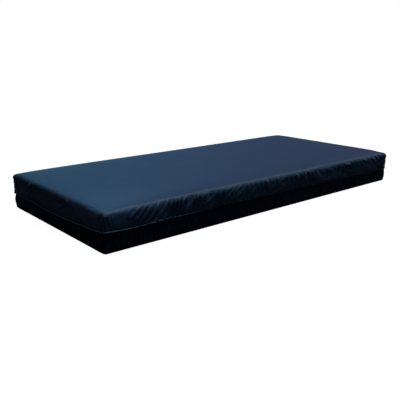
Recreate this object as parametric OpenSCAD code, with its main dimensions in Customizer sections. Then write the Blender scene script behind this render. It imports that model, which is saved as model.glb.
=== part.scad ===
// Pressure relief mattress for a hospital or ward bed.
// A foam tub holds a castellated comfort insert made of three zones. A two-part cover closes round the foam with
// a zip that runs the whole way round, hidden behind the skirt of the top cover.
// Millimetres. The origin is the centre of the underside, +X points to the head end and +Z is up.

/* [Overall] */
// Length over the closed cover
mattress_l = 2032; // [1900:1:2100]
// Width over the closed cover
mattress_w = 914; // [800:1:1000]
// Thickness over the closed cover
mattress_h = 178; // [165:1:200]
// Radius of the upright corners of the cover
corner_r = 32; // [30:1:45]

/* [Cover] */
// Radius of the edge round the lying surface
top_edge_r = 28; // [20:1:28]
// Radius of the edge round the underside
base_edge_r = 12; // [6:1:14]
// Thickness of the coated cover fabric
fabric_t = 1; // [0.8:0.1:1]
// Height of the skirt's lower edge above the floor
skirt_z = 86; // [82:1:88]
// Radius of the piping on the skirt's lower edge
piping_r = 1.7; // [1.5:0.1:1.7]
// Thickness of the care label
label_t = 0.3; // [0.2:0.05:0.3]

/* [Zip] */
// Height of the line where the two coils meet
zip_z = 101.5; // [100:0.5:103]
// Width of one coil
coil_w = 4.6; // [4:0.1:4.8]
// Thickness of the coils through the tape
coil_t = 2.6; // [2:0.1:2.6]
// Thickness of the zip tape
tape_t = 0.6; // [0.4:0.1:0.8]
// Length of the slider along the zip
slider_l = 16; // [14:1:20]
// Length of the pull tab below its pivot
tab_l = 33; // [25:1:40]
// Radius of the pull tab's pivot stud
stud_r = 1.5; // [1.2:0.1:1.6]
// Place of the closed slider along the mattress
slider_x = 812; // [0:1:850]

/* [Foam tub] */
// Gap between the side of the foam and the outside of the cover
core_gap = 11; // [10.5:0.5:14]
// Height of the base layer's top
base_top_z = 66.4; // [50:0.2:70]
// Width of the firm side rails
side_rail_w = 90; // [60:1:120]
// Length of the firm end rails
end_rail_l = 90; // [60:1:120]
// Width of one relief cut in the underside
relief_w = 4; // [3:1:8]
// Depth of the relief cuts
relief_depth = 35; // [20:1:45]
// Distance between relief cuts
relief_pitch = 32; // [24:1:40]

/* [Comfort insert] */
// Thickness of the sheet that the three zones are glued to
backing_t = 25; // [15:1:35]
// Length of the zone under the head and shoulders
head_zone_l = 540; // [400:10:600]
// Length of the zone under the hips and thighs
torso_zone_l = 760; // [600:10:800]
// Width of the cuts between the cells
cell_cut = 7; // [5:0.5:10]
// Depth of the cuts between the cells
cell_depth = 50; // [30:1:60]
// Rows of cells across the insert
cells_across = 9; // [6:1:10]
// Rows of cells along the head zone
head_rows = 5; // [4:1:8]
// Rows of cells along the torso zone
torso_rows = 10; // [6:1:12]
// Rows of cells along the heel zone
heel_rows = 3; // [2:1:6]

/* [Hidden] */
$fn = 64;

cover_blue = [0.10, 0.14, 0.22];
base_navy = [0.03, 0.04, 0.07];
piping_blue = [0.14, 0.19, 0.28];
zip_black = [0.05, 0.05, 0.06];
label_white = [0.90, 0.90, 0.88];
tub_cream = [0.93, 0.88, 0.72];
rail_white = [0.90, 0.90, 0.86];
zone_blue = [0.62, 0.74, 0.84];
zone_rose = [0.86, 0.72, 0.70];
zone_green = [0.70, 0.82, 0.70];
steel = [0.65, 0.66, 0.68];

// Depths inward from the outside of the cover, through the hidden zip
foam_gap = 0.4;
zip_gap = 0.3;
piping_in = 1;
piping_flange_t = 0.6;
tab_in = 3.8;
tab_t = 1;
plate_t = 1;
slider_in = tab_in + tab_t + zip_gap;
coil_in = slider_in + plate_t + zip_gap;
tape_in = coil_in + coil_t / 2 - tape_t / 2;
base_in = tape_in + tape_t;
slider_t = 2 * (plate_t + zip_gap) + coil_t;

// Heights through the zip
base_cover_h = 91;
piping_flange_h = 7;
tape_overlap = 9;
tape_seam_low = 124;
tape_seam_high = 134;
tape_bend_z = 112;

// Zip ends
stop_l = 3;
stop_lift = 1.5;
zip_end_x = slider_x + slider_l / 2 + 1;
coil_gap_l = 30;

// Slider and pull tab
slider_h = 14;
plate_r = 3;
flange_w = 1.3;
flange_in = 0.7;
wedge_from_stud = 1;
wedge_l = 5;
wedge_h = 2;
stud_head_r = 2.6;
stud_head_t = 0.5;
tab_w = 7;
tab_eye_gap = 0.05;
tab_hole_r = 2;

// Foam
core_l = mattress_l - 2 * core_gap;
core_w = mattress_w - 2 * core_gap;
core_low = fabric_t + foam_gap;
core_high = mattress_h - fabric_t - foam_gap;
core_corner_r = 24;
core_top_r = 20;
insert_gap = 0.6;
insert_l = core_l - 2 * end_rail_l - 2 * insert_gap;
insert_w = core_w - 2 * side_rail_w - 2 * insert_gap;
insert_low = base_top_z + foam_gap;
zone_low = insert_low + backing_t;
heel_zone_l = insert_l - head_zone_l - torso_zone_l;
relief_cuts = 5;
hip_from_head = 800;
knee_from_head = 1250;

// Care label
label_l = 60;
label_w = 110;
label_from_head = 150;

// Rectangle with round corners
module rounded_rect(l, w, r) {
    square([l - 2 * r, w], center = true);
    square([l, w - 2 * r], center = true);
    for (sx = [-1, 1], sy = [-1, 1])
        translate([sx * (l / 2 - r), sy * (w / 2 - r)])
            circle(r);
}

// Half section of a slab: it reaches out to x = reach and its outer edges are round
module half_section(reach, h, top_r, base_r) {
    translate([0, base_r])
        square([reach, h - top_r - base_r]);
    if (top_r > 0) {
        translate([0, h / 2])
            square([reach - top_r, h / 2]);
        translate([reach - top_r, h - top_r])
            circle(top_r);
    }
    if (base_r > 0) {
        square([reach - base_r, h / 2]);
        translate([reach - base_r, base_r])
            circle(base_r);
    }
}

// Slab with round upright corners and round top and bottom edges, standing on z = 0
module slab(l, w, h, r, top_r = 0, base_r = 0) {
    for (turn = [0, 90]) {
        run = turn == 0 ? l - 2 * r : w - 2 * r;
        reach = turn == 0 ? w / 2 : l / 2;
        rotate(turn)
            translate([-run / 2, 0, 0])
                rotate([90, 0, 90])
                    linear_extrude(run)
                        for (side = [0, 1])
                            mirror([side, 0])
                                half_section(reach, h, top_r, base_r);
    }
    for (sx = [-1, 1], sy = [-1, 1])
        translate([sx * (l / 2 - r), sy * (w / 2 - r), 0])
            rotate_extrude()
                intersection() {
                    half_section(r, h, top_r, base_r);
                    square([r, h]);
                }
}

// Carries a section round the cover. In the section, x is the depth inward from the outside and y is the height
module round_the_cover() {
    for (turn = [0, 90, 180, 270]) {
        long = turn % 180 == 0;
        run = (long ? mattress_l : mattress_w) - 2 * corner_r;
        reach = (long ? mattress_w : mattress_l) / 2;
        rotate(turn)
            translate([-run / 2, 0, 0])
                rotate([90, 0, 90])
                    linear_extrude(run)
                        translate([reach, 0])
                            mirror([1, 0])
                                children();
        rotate(turn)
            translate([(long ? mattress_l : mattress_w) / 2 - corner_r, reach - corner_r, 0])
                rotate_extrude(angle = 90)
                    translate([corner_r, 0])
                        mirror([1, 0])
                            children();
    }
}

// Block on the long side at +Y: from x, over length l, between two depths and two heights
module side_block(x, l, depth_a, depth_b, z_a, z_b) {
    translate([x, mattress_w / 2 - depth_b, z_a])
        cube([l, depth_b - depth_a, z_b - z_a]);
}

// ---- cover ----

module top_cover() {
    h = mattress_h - skirt_z;
    color(cover_blue)
        translate([0, 0, skirt_z])
            difference() {
                slab(mattress_l, mattress_w, h, corner_r, top_edge_r);
                translate([0, 0, -fabric_t])
                    slab(mattress_l - 2 * fabric_t, mattress_w - 2 * fabric_t, h,
                         corner_r - fabric_t, top_edge_r - fabric_t);
            }
}

module skirt_piping() {
    color(piping_blue)
        round_the_cover()
            union() {
                translate([piping_in, skirt_z - piping_r])
                    circle(piping_r);
                translate([fabric_t, skirt_z - piping_r])
                    square([piping_flange_t, piping_r + piping_flange_h]);
            }
}

module base_cover() {
    l = mattress_l - 2 * base_in;
    w = mattress_w - 2 * base_in;
    r = corner_r - base_in;
    color(base_navy)
        difference() {
            slab(l, w, base_cover_h, r, 0, base_edge_r);
            translate([0, 0, fabric_t])
                slab(l - 2 * fabric_t, w - 2 * fabric_t, base_cover_h, r - fabric_t,
                     0, base_edge_r - fabric_t);
        }
}

module care_label() {
    color(label_white)
        translate([mattress_l / 2 - label_from_head, 0, fabric_t])
            linear_extrude(label_t)
                square([label_l, label_w], center = true);
}

// ---- zip ----

// Cuts the ring open where the zip ends, ahead of the slider's wedge
module zip_ring() {
    difference() {
        round_the_cover()
            children();
        side_block(slider_x, coil_gap_l, 0, core_gap, zip_z - slider_h, zip_z + slider_h);
    }
}

module upper_zip_tape() {
    coil_edge = zip_z + coil_w;
    color(zip_black)
        round_the_cover()
            polygon([
                [tape_in + tape_t, coil_edge],
                [tape_in + tape_t, tape_bend_z],
                [fabric_t + tape_t, tape_seam_low],
                [fabric_t + tape_t, tape_seam_high],
                [fabric_t, tape_seam_high],
                [fabric_t, tape_seam_low],
                [tape_in, tape_bend_z],
                [tape_in, coil_edge]
            ]);
}

module lower_zip_tape() {
    color(zip_black)
        round_the_cover()
            translate([tape_in, base_cover_h - tape_overlap])
                square([tape_t, zip_z - coil_w - base_cover_h + tape_overlap]);
}

module coil_section() {
    translate([coil_in, zip_gap / 2])
        square([coil_t, coil_w - zip_gap / 2]);
}

module upper_zip_coil() {
    color(zip_black)
        zip_ring()
            translate([0, zip_z])
                coil_section();
}

module lower_zip_coil() {
    color(zip_black)
        zip_ring()
            translate([0, zip_z])
                mirror([0, 1])
                    coil_section();
}

module upper_zip_stop() {
    color(steel)
        side_block(zip_end_x, stop_l, coil_in, coil_in + coil_t, zip_z + stop_lift, zip_z + coil_w);
}

module lower_zip_stop() {
    color(steel)
        side_block(zip_end_x, stop_l, coil_in, coil_in + coil_t, zip_z - coil_w, zip_z - stop_lift);
}

// Plate of the slider, its outer face at the given depth
module slider_plate(depth) {
    translate([slider_x, mattress_w / 2 - depth, zip_z])
        rotate([90, 0, 0])
            linear_extrude(plate_t)
                rounded_rect(slider_l, slider_h, plate_r);
}

// Two plates with folded flanges that keep the tapes, a wedge that parts the coils and a stud for the tab
module zip_slider() {
    inner_in = slider_in + slider_t - plate_t;
    flange_l = slider_l - 2 * plate_r;
    flange_x = slider_x - flange_l / 2;
    stud_l = slider_in + plate_t / 2 - tab_in + zip_gap;
    color(steel) {
        slider_plate(slider_in);
        slider_plate(inner_in);
        for (side = [0, 1]) {
            low = side == 0 ? zip_z - slider_h / 2 : zip_z + slider_h / 2 - flange_w;
            side_block(flange_x, flange_l, slider_in, coil_in + flange_in, low, low + flange_w);
            side_block(flange_x, flange_l, coil_in + coil_t - flange_in, slider_in + slider_t, low, low + flange_w);
        }
        side_block(slider_x + wedge_from_stud, wedge_l, slider_in, slider_in + slider_t,
                   zip_z - wedge_h / 2, zip_z + wedge_h / 2);
        translate([slider_x, mattress_w / 2 - slider_in - plate_t / 2, zip_z])
            rotate([-90, 0, 0]) {
                cylinder(r = stud_r, h = stud_l);
                translate([0, 0, stud_l])
                    cylinder(r = stud_head_r, h = stud_head_t);
            }
    }
}

module pull_tab() {
    color(steel)
        translate([slider_x, mattress_w / 2 - tab_in, zip_z])
            rotate([90, 0, 0])
                linear_extrude(tab_t)
                    difference() {
                        union() {
                            circle(tab_w / 2);
                            translate([-tab_w / 2, -tab_l + tab_w])
                                square([tab_w, tab_l - tab_w]);
                            translate([0, -tab_l + tab_w])
                                circle(tab_w / 2);
                        }
                        circle(stud_r + tab_eye_gap);
                        translate([0, -tab_l + tab_w])
                            circle(tab_hole_r);
                    }
}

// ---- foam tub ----

// The whole foam core as one shape, before it is cut into pieces
module core_blank() {
    translate([0, 0, core_low])
        slab(core_l, core_w, core_high - core_low, core_corner_r, core_top_r, base_edge_r);
}

// The part of the core between two corners
module core_piece(low, high) {
    intersection() {
        core_blank();
        translate(low)
            cube(high - low);
    }
}

module base_foam() {
    color(tub_cream)
        difference() {
            core_piece([-mattress_l, -mattress_w, 0], [mattress_l, mattress_w, base_top_z]);
            for (from_head = [hip_from_head, knee_from_head], i = [0 : relief_cuts - 1])
                translate([mattress_l / 2 - from_head + (i - (relief_cuts - 1) / 2) * relief_pitch - relief_w / 2,
                           -mattress_w / 2, 0])
                    cube([relief_w, mattress_w, core_low + relief_depth]);
        }
}

module left_side_rail() {
    color(rail_white)
        core_piece([-mattress_l, core_w / 2 - side_rail_w, base_top_z], [mattress_l, mattress_w, mattress_h]);
}

module right_side_rail() {
    color(rail_white)
        mirror([0, 1, 0])
            core_piece([-mattress_l, core_w / 2 - side_rail_w, base_top_z], [mattress_l, mattress_w, mattress_h]);
}

module head_end_rail() {
    half_w = core_w / 2 - side_rail_w;
    color(rail_white)
        core_piece([core_l / 2 - end_rail_l, -half_w, base_top_z], [mattress_l, half_w, mattress_h]);
}

module foot_end_rail() {
    half_w = core_w / 2 - side_rail_w;
    color(rail_white)
        mirror([1, 0, 0])
            core_piece([core_l / 2 - end_rail_l, -half_w, base_top_z], [mattress_l, half_w, mattress_h]);
}

// ---- comfort insert ----

module insert_backing() {
    color(rail_white)
        translate([-insert_l / 2, -insert_w / 2, insert_low])
            cube([insert_l, insert_w, backing_t]);
}

// One zone: a block that starts at x, cut from above into rows of square-edged cells
module zone(x, l, rows) {
    h = core_high - zone_low;
    translate([x, -insert_w / 2, zone_low])
        difference() {
            cube([l, insert_w, h]);
            for (i = [1 : rows - 1])
                translate([i * l / rows - cell_cut / 2, -1, h - cell_depth])
                    cube([cell_cut, insert_w + 2, cell_depth + 1]);
            for (j = [1 : cells_across - 1])
                translate([-1, j * insert_w / cells_across - cell_cut / 2, h - cell_depth])
                    cube([l + 2, cell_cut, cell_depth + 1]);
        }
}

module head_zone_foam() {
    color(zone_blue)
        zone(insert_l / 2 - head_zone_l, head_zone_l, head_rows);
}

module torso_zone_foam() {
    color(zone_rose)
        zone(insert_l / 2 - head_zone_l - torso_zone_l, torso_zone_l, torso_rows);
}

module heel_zone_foam() {
    color(zone_green)
        zone(-insert_l / 2, heel_zone_l, heel_rows);
}

top_cover();
skirt_piping();
upper_zip_tape();
upper_zip_coil();
upper_zip_stop();
base_cover();
lower_zip_tape();
lower_zip_coil();
lower_zip_stop();
care_label();
zip_slider();
pull_tab();
base_foam();
left_side_rail();
right_side_rail();
head_end_rail();
foot_end_rail();
insert_backing();
head_zone_foam();
torso_zone_foam();
heel_zone_foam();
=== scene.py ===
import math

import bmesh
import bpy
import numpy as np
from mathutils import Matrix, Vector, noise


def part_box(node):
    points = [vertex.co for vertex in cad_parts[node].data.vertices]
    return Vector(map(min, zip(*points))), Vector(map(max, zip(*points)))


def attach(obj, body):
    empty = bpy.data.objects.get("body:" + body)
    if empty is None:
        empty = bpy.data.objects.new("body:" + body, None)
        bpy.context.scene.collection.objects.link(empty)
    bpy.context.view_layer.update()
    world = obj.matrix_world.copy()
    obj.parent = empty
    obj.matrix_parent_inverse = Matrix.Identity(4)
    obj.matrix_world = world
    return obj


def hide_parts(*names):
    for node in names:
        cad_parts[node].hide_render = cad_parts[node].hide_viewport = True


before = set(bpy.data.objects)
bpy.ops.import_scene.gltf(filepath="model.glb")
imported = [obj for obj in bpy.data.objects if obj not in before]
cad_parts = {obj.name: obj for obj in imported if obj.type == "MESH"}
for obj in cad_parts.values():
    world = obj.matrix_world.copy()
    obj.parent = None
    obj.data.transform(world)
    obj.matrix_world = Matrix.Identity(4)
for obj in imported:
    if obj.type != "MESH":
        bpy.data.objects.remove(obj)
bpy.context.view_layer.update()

# Pressure relief mattress: foam in a two-part zipped cover. Metres; +X is the head end, the slider is at +Y

coverLow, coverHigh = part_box("top_cover")
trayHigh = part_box("base_cover")[1]
halfLength, halfWidth, topHeight = coverHigh.x, coverHigh.y, coverHigh.z
hemHeight = coverLow.z
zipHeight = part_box("upper_zip_coil")[0].z
turn = 2 * math.pi


def smoothStep(low, high, value):
    share = np.clip((value - low) / (high - low), 0, 1)
    return share * share * (3 - 2 * share)


def hump(value, centre, spread):
    return np.exp(-((value - centre) / spread) ** 2)


def noiseAlong(values, heights, scale, seed):
    # smooth noise from -1 to 1 for every pair of a distance and a height
    noiseGain = 1.6
    found = [noise.noise(Vector((a / scale, b / scale, seed))) for a, b in zip(values, heights)]
    return np.array(found) * noiseGain


def meshObject(name, points, faces):
    mesh = bpy.data.meshes.new(name)
    mesh.from_pydata([tuple(p) for p in points], [], faces)
    made = bpy.data.objects.new(name, mesh)
    bpy.context.scene.collection.objects.link(made)
    return made


def newPiece(name, points, faces, body, material, standsFor, surface=None):
    piece = meshObject(name, points, faces)
    piece.data.validate()
    piece.data.update()
    if surface is not None:
        addSurface(piece.data, surface)
    piece.data.shade_smooth()
    piece.data.materials.append(material)
    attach(piece, body)
    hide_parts(standsFor)
    return piece


def addSurface(mesh, surface):
    # distances round the cover and heights as surface coordinates in metres, mended where a ring closes
    corners = np.zeros(len(mesh.loops), np.int32)
    mesh.loops.foreach_get("vertex_index", corners)
    found = np.array(surface)[corners]
    for polygon in mesh.polygons:
        loops = slice(polygon.loop_start, polygon.loop_start + polygon.loop_total)
        values = found[loops, 0]
        if values.max() - values.min() > rimLength / 2:
            found[loops, 0] = np.where(values < rimLength / 2, values + rimLength, values)
    mesh.uv_layers.new(name="surface").data.foreach_set("uv", found.ravel().astype(np.float32))


def addThickness(piece, thickness, offset):
    # gives a skin the thickness of its cloth: offset -1 is inward, 0 is both ways
    solid = piece.modifiers.new("thickness", "SOLIDIFY")
    solid.thickness = thickness
    solid.offset = offset


def gridOfRings(rings, count):
    # faces between rings that follow one another, each with the same number of points
    faces = []
    for low in range(0, (rings - 1) * count, count):
        for i in range(count):
            j = (i + 1) % count
            faces.append((low + i, low + j, low + count + j, low + count + i))
    return faces


def gridFaces(width, rows, first=0):
    # faces of an open grid of points, laid row by row
    starts = [first + j * width + i for j in range(rows - 1) for i in range(width - 1)]
    return [(a, a + 1, a + width + 1, a + width) for a in starts]


def gridBorder(width, rows, first=0):
    # the points round the edge of such a grid, in order
    border = [first + i for i in range(width - 1)]
    border += [first + j * width + width - 1 for j in range(rows - 1)]
    border += [first + (rows - 1) * width + i for i in range(width - 1, 0, -1)]
    return border + [first + j * width for j in range(rows - 1, 0, -1)]


# Distances round the cover start where the foot end meets the -Y side, which is the front. They run along the
# front, the head end, back along the +Y side, and along the foot end
sideCounts = {"long": 400, "short": 180}
ringCount = 2 * (sideCounts["long"] + sideCounts["short"])


def roundTheRim(inset, cornerRadius, divide=1):
    # places and outward normals round a rectangle with round corners
    reachX, reachY = halfLength - inset, halfWidth - inset
    r = cornerRadius
    places, normals = [], []
    for side in range(4):
        long = side % 2 == 0
        straight = 2 * (reachX if long else reachY) - 2 * r
        arc = r * math.pi / 4
        count = (sideCounts["long"] if long else sideCounts["short"]) // divide
        out = reachY if long else reachX
        for i in range(count):
            s = (straight + 2 * arc) * i / count
            if s < arc:
                angle = s / r - math.pi / 4
                along, away = -straight / 2 + r * math.sin(angle), out - r + r * math.cos(angle)
                facing = (math.sin(angle), math.cos(angle))
            elif s < arc + straight:
                along, away = s - arc - straight / 2, out
                facing = (0, 1)
            else:
                angle = (s - arc - straight) / r
                along, away = straight / 2 + r * math.sin(angle), out - r + r * math.cos(angle)
                facing = (math.sin(angle), math.cos(angle))
            turnBy = side * math.pi / 2
            c, n = math.cos(turnBy), math.sin(turnBy)
            places.append((along * c + away * n, along * n - away * c))
            normals.append((facing[0] * c + facing[1] * n, facing[0] * n - facing[1] * c))
    return np.array(places), np.array(normals)


outerCorner = 0.017
rimPlaces, rimNormals = roundTheRim(0, outerCorner)
rimSteps = np.linalg.norm(np.roll(rimPlaces, -1, 0) - rimPlaces, axis=1)
rimRun = np.concatenate([[0], np.cumsum(rimSteps)[:-1]])
rimLength = rimSteps.sum()
cornerPoints = np.cumsum([0, sideCounts["long"], sideCounts["short"], sideCounts["long"]])
cornerRuns = [rimRun[k] for k in cornerPoints]
rimTangents = np.column_stack([-rimNormals[:, 1], rimNormals[:, 0]])
# 1 on the side that carries the zip slider, 0 elsewhere
sliderSide = smoothStep(0.3, 0.9, rimNormals[:, 1])
stillSide = 1 - 0.75 * sliderSide  # its cloth stays near the flat side, clear of the slider

# Height of the skirt's lower edge, which droops and rises with the cloth: (place along the side, height)
hemRise = {
    "front": [(-1.016, 0.100), (-0.93, 0.092), (-0.82, 0.092), (-0.70, 0.096), (-0.59, 0.091), (-0.44, 0.093),
              (-0.35, 0.097), (-0.22, 0.091), (0.29, 0.087), (0.80, 0.079), (1.016, 0.077)],
    "head": [(-0.457, 0.077), (-0.2, 0.081), (0.2, 0.084), (0.457, 0.083)],
    "back": [(1.016, 0.083), (0.5, 0.086), (0.0, 0.084), (-0.5, 0.087), (-1.016, 0.083)],
    "foot": [(0.457, 0.083), (0.25, 0.081), (0.09, 0.075), (-0.09, 0.078), (-0.25, 0.083), (-0.38, 0.091),
             (-0.457, 0.100)],
}


def hemLine():
    knots = []
    for name, corner, way in (("front", 0, 1), ("head", 1, 1), ("back", 2, -1), ("foot", 3, -1)):
        half = halfLength if name in ("front", "back") else halfWidth
        nextRun = cornerRuns[corner + 1] if corner < 3 else rimLength
        for along, height in hemRise[name]:
            share = (along * way + half) / (2 * half)
            knots.append((cornerRuns[corner] + share * (nextRun - cornerRuns[corner]), height))
    runs = np.array([k[0] for k in knots])
    heights = np.array([k[1] for k in knots])
    line = np.interp(rimRun, runs, heights)
    reach = 15
    soften = np.hanning(2 * reach + 1) / np.hanning(2 * reach + 1).sum()
    return np.convolve(np.concatenate([line[-reach:], line, line[:reach]]), soften, "valid")


hemZ = hemLine()
# the base cover and the zip rise with the hem, except on the slider's side
zipRise = 1.15
zipLift = np.clip(hemZ - hemHeight, 0, 1) * zipRise * (1 - sliderSide)


# Shader nodes. Each group is built once and is placed in the materials with their own values.

def addNode(tree, kind, **values):
    node = tree.nodes.new(kind)
    for name, value in values.items():
        setattr(node, name, value)
    return node


def feed(tree, socket, value):
    # a link where the value is another node's output, a fixed value otherwise
    if isinstance(value, bpy.types.NodeSocket):
        tree.links.new(value, socket)
    elif isinstance(value, tuple) and len(value) == 3 and socket.type == "RGBA":
        socket.default_value = (*value, 1)
    else:
        socket.default_value = value


def fed(tree, kind, inputs, **values):
    # a node with its inputs fed by name
    node = addNode(tree, kind, **values)
    for name, value in inputs.items():
        feed(tree, node.inputs[name], value)
    return node


def mathNode(tree, operation, *values):
    node = addNode(tree, "ShaderNodeMath", operation=operation)
    for socket, value in zip(node.inputs, values):
        feed(tree, socket, value)
    return node.outputs[0]


def mixColours(tree, share, first, second):
    mix = addNode(tree, "ShaderNodeMix", data_type="RGBA")
    for name, value in (("Factor", share), ("A", first), ("B", second)):
        feed(tree, mix.inputs[name], value)
    return mix.outputs["Result"]


def shadeRange(tree, value, low, high):
    return fed(tree, "ShaderNodeMapRange", {"Value": value, "To Min": low, "To Max": high}).outputs[0]


def layOut(tree):
    # columns of four nodes, so that the tree can be read
    for k, node in enumerate(tree.nodes):
        node.location = (240 * (k // 4), -320 * (k % 4))


def newGroup(name, inputs, outputs):
    group = bpy.data.node_groups.new(name, "ShaderNodeTree")
    for label, value in inputs.items():
        group.interface.new_socket(label, in_out="INPUT", socket_type="NodeSocketFloat").default_value = value
    for label in outputs:
        group.interface.new_socket(label, in_out="OUTPUT", socket_type="NodeSocketFloat")
    return group, addNode(group, "NodeGroupInput").outputs, addNode(group, "NodeGroupOutput").inputs


def objectCoords(tree):
    return addNode(tree, "ShaderNodeTexCoord").outputs["Object"]


def buildWeave():
    # crossed threads, and a mask of the gaps between them
    values = {"Threads per metre": 1800.0, "Unevenness": 0.2}
    group, into, out = newGroup("fineWeave", values, ["Height", "Gaps"])
    coords = objectCoords(group)
    bandsPerScale = 10.0 / math.pi
    waves = []
    for axis in ("X", "Y", "Z"):
        scale = mathNode(group, "DIVIDE", into["Threads per metre"], bandsPerScale)
        inputs = {"Vector": coords, "Scale": scale, "Distortion": into["Unevenness"], "Detail": 1.0,
                  "Detail Scale": 0.6}
        wave = fed(group, "ShaderNodeTexWave", inputs, wave_type="BANDS", bands_direction=axis)
        waves.append(wave.outputs["Fac"])
    crossed = mathNode(group, "MULTIPLY", waves[0], waves[1])
    crossed = mathNode(group, "ADD", crossed, mathNode(group, "MULTIPLY", waves[2], 0.5))
    feed(group, out["Height"], crossed)
    feed(group, out["Gaps"], mathNode(group, "SUBTRACT", 1.0, crossed))
    layOut(group)
    return group


def buildSoftCreases():
    # faint handling creases and broad dents in coated cloth
    group, into, out = newGroup("softCreases", {"Size": 9.0, "Seed": 0.0}, ["Height", "Patches"])
    shift = fed(group, "ShaderNodeCombineXYZ", {"X": into["Seed"]})
    place = addNode(group, "ShaderNodeVectorMath", operation="ADD")
    feed(group, place.inputs[0], objectCoords(group))
    feed(group, place.inputs[1], shift.outputs[0])
    fineScale = mathNode(group, "MULTIPLY", into["Size"], 3.2)
    inputs = {"Vector": place.outputs[0], "Scale": into["Size"], "Detail": 3.0, "Distortion": 0.6}
    broad = fed(group, "ShaderNodeTexNoise", inputs).outputs["Fac"]
    inputs = {"Vector": place.outputs[0], "Scale": fineScale, "Detail": 4.0}
    fine = fed(group, "ShaderNodeTexNoise", inputs, noise_type="RIDGED_MULTIFRACTAL").outputs["Fac"]
    feed(group, out["Height"], mathNode(group, "ADD", broad, mathNode(group, "MULTIPLY", fine, 0.25)))
    feed(group, out["Patches"], broad)
    layOut(group)
    return group


def buildFoamPores():
    # open cells of cut foam at two sizes, and a Shade that is darker in the larger cells' hollows: painted
    # shade in the pores, with random mottling
    group, into, out = newGroup("foamPores", {"Cells per metre": 900.0}, ["Height", "Shade"])
    coords = objectCoords(group)
    largeScale = mathNode(group, "MULTIPLY", into["Cells per metre"], 0.38)
    small = fed(group, "ShaderNodeTexVoronoi", {"Vector": coords, "Scale": into["Cells per metre"]})
    large = fed(group, "ShaderNodeTexVoronoi", {"Vector": coords, "Scale": largeScale}).outputs["Distance"]
    cloud = fed(group, "ShaderNodeTexNoise", {"Vector": coords, "Scale": 26.0, "Detail": 4.0}).outputs["Fac"]
    both = mathNode(group, "MULTIPLY", small.outputs["Distance"], large)
    feed(group, out["Height"], mathNode(group, "ADD", both, mathNode(group, "MULTIPLY", cloud, 0.3)))
    feed(group, out["Shade"], mathNode(group, "ADD", mathNode(group, "MULTIPLY", cloud, 0.6),
                                       mathNode(group, "MULTIPLY", large, 0.4)))
    layOut(group)
    return group


def buildHandling():
    # scuffs, dust and rubbing: a mask that is strongest on raised edges
    group, into, out = newGroup("handlingMarks", {"Amount": 0.5, "Grain": 60.0}, ["Mask"])
    inputs = {"Vector": objectCoords(group), "Scale": into["Grain"], "Detail": 6.0, "Roughness": 0.65}
    speck = fed(group, "ShaderNodeTexNoise", inputs).outputs["Fac"]
    pointed = addNode(group, "ShaderNodeNewGeometry").outputs["Pointiness"]
    edge = fed(group, "ShaderNodeMapRange", {"Value": pointed, "From Min": 0.5, "From Max": 0.62}).outputs[0]
    worn = mathNode(group, "MULTIPLY", edge, speck)
    both = mathNode(group, "ADD", worn, mathNode(group, "POWER", speck, 3.0))
    feed(group, out["Mask"], mathNode(group, "MULTIPLY", both, into["Amount"]))
    layOut(group)
    return group


def buildStitches():
    # two rows of thread, one stitch after another, at a height above the hem
    sizes = {"Height": 0.006, "Row gap": 0.006, "Pitch": 0.0045, "Thread": 0.0005}
    group, into, out = newGroup("stitchRows", sizes, ["Mask"])
    surface = addNode(group, "ShaderNodeUVMap", uv_map="surface").outputs[0]
    split = fed(group, "ShaderNodeSeparateXYZ", {"Vector": surface}).outputs
    phase = mathNode(group, "FRACT", mathNode(group, "DIVIDE", split["X"], into["Pitch"]))
    stitch = mathNode(group, "COMPARE", phase, 0.5, 0.38)
    upperLevel = mathNode(group, "ADD", into["Height"], into["Row gap"])
    levels = (into["Height"], upperLevel)
    rows = [mathNode(group, "COMPARE", split["Y"], level, into["Thread"]) for level in levels]
    feed(group, out["Mask"], mathNode(group, "MULTIPLY", mathNode(group, "MAXIMUM", *rows), stitch))
    layOut(group)
    return group


weaveGroup = buildWeave()
stitchGroup = buildStitches()
creaseGroup = buildSoftCreases()
poreGroup = buildFoamPores()
handlingGroup = buildHandling()


def placeGroup(tree, group, **values):
    names = {"threads": "Threads per metre", "cells": "Cells per metre"}
    inputs = {names.get(name, name[0].upper() + name[1:]): value for name, value in values.items()}
    return fed(tree, "ShaderNodeGroup", inputs, node_tree=group).outputs


def bumpNode(tree, height, distance, strength, normal=None):
    inputs = {"Strength": strength, "Distance": distance, "Height": height}
    if normal is not None:
        inputs["Normal"] = normal
    return fed(tree, "ShaderNodeBump", inputs).outputs["Normal"]


def finishMaterial(name, makeInputs, look):
    # makeInputs gives the Principled shader's inputs by name
    material = bpy.data.materials.new(name)
    material.use_nodes = True
    tree = material.node_tree
    for socketName, value in makeInputs(tree, look).items():
        feed(tree, tree.nodes["Principled BSDF"].inputs[socketName], value)
    layOut(tree)
    return material


def coatedCloth(tree, look):
    # woven backing under a smooth coat
    weave = placeGroup(tree, weaveGroup, threads=look["threads"])
    crease = placeGroup(tree, creaseGroup, size=look["creaseSize"], seed=look["seed"])
    marks = placeGroup(tree, handlingGroup, amount=look["marks"], grain=look["grain"])
    # the cloth is darker where its broad dents lie: random tone, and painted shade in the dents
    tone = mixColours(tree, crease["Patches"], look["dark"], look["light"])
    tone = mixColours(tree, marks["Mask"], tone, look["rubbed"])
    normal = bumpNode(tree, weave["Height"], look["weaveDepth"], look["weaveStrength"])
    normal = bumpNode(tree, crease["Height"], look["creaseDepth"], look["creaseStrength"], normal)
    if "stitchHeight" in look:
        stitches = placeGroup(tree, stitchGroup, height=look["stitchHeight"])["Mask"]
        tone = mixColours(tree, stitches, tone, look["thread"])
        normal = bumpNode(tree, stitches, 0.0004, 0.8, normal)
    return {"Base Color": tone, "Roughness": shadeRange(tree, crease["Patches"], *look["roughness"]),
            "Normal": normal, "Specular IOR Level": look["specular"], "Sheen Weight": look["sheen"],
            "Sheen Roughness": 0.35, "Sheen Tint": look["sheenTint"]}


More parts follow.
